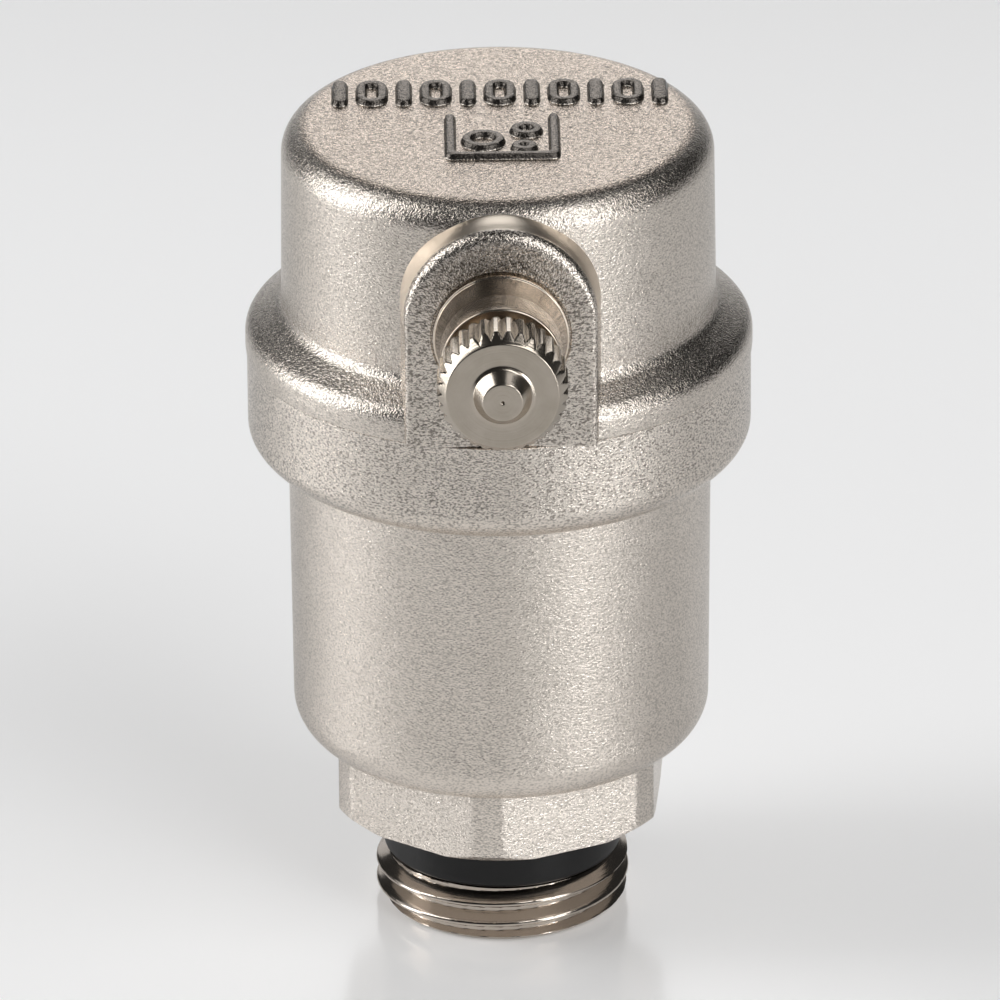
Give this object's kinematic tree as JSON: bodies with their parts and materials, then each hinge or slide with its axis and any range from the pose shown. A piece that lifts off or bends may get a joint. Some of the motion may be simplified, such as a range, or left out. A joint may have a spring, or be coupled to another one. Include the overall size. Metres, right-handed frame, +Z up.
{
  "type": "automatic air vent",
  "caption": "Automatic float air vent with a G 1/2 male thread, round nickel-plated casing and a knurled vent cap on the side.",
  "frame": {"origin": "centre of the male thread's lower end face", "axes": "+Z up the casing's axis, -Y along the vent nozzle, +X to the right seen from the nozzle's side"},
  "size_m": [0.0414, 0.0536, 0.0698],
  "materials": {
    "blasted_nickel": "shot-blasted, nickel-plated",
    "turned_nickel": "turned, nickel-plated",
    "black_rubber": "smooth",
    "spring_steel": "bright",
    "plain_brass": "turned",
    "lever_plastic": "moulded",
    "float_plastic": "moulded"
  },
  "bodies": {
    "housing": {"body": "blasted_nickel", "cover": "blasted_nickel", "cover_o_ring": "black_rubber", "thread_seal": "black_rubber", "vent_nozzle": "turned_nickel", "nozzle_o_ring": "black_rubber", "lever_bracket": "spring_steel", "bracket_washer": "spring_steel", "bracket_nut": "plain_brass", "lever_pin": "spring_steel", "pin_clip_left": "spring_steel", "pin_clip_right": "spring_steel"},
    "float": {"float_shell": "float_plastic", "float_lid": "float_plastic", "float_link": "spring_steel"},
    "lever": {"lever": "lever_plastic", "valve_pad": "black_rubber", "valve_spring": "spring_steel"},
    "cap_carrier": {"cap_seal": "black_rubber"},
    "cap": {"vent_cap": "turned_nickel"}
  },
  "joints": [
    {"name": "float_rise", "type": "slide", "parent": "housing", "child": "float", "axis": [0, 0, 1], "range_m": [0, 0.00176]},
    {"name": "lever_tilt", "type": "hinge", "parent": "housing", "child": "lever", "pos_m": [0, -0.00795, 0.0525], "axis": [1, 0, 0], "range_deg": [0, 12.7]},
    {"name": "cap_advance", "type": "slide", "parent": "housing", "child": "cap_carrier", "axis": [0, -1, 0], "range_m": [-0.00075, 0.0015]},
    {"name": "cap_turn", "type": "hinge", "parent": "cap_carrier", "child": "cap", "pos_m": [0, -0.0296, 0.0595], "axis": [0, -1, 0], "range_deg": [-360.1, 720.2]}
  ],
  "couplings": [
    {"joint": "lever_tilt", "follows": "float_rise", "rad_per_m": 125},
    {"joint": "cap_turn", "follows": "cap_advance", "rad_per_m": 8377.6}
  ]
}
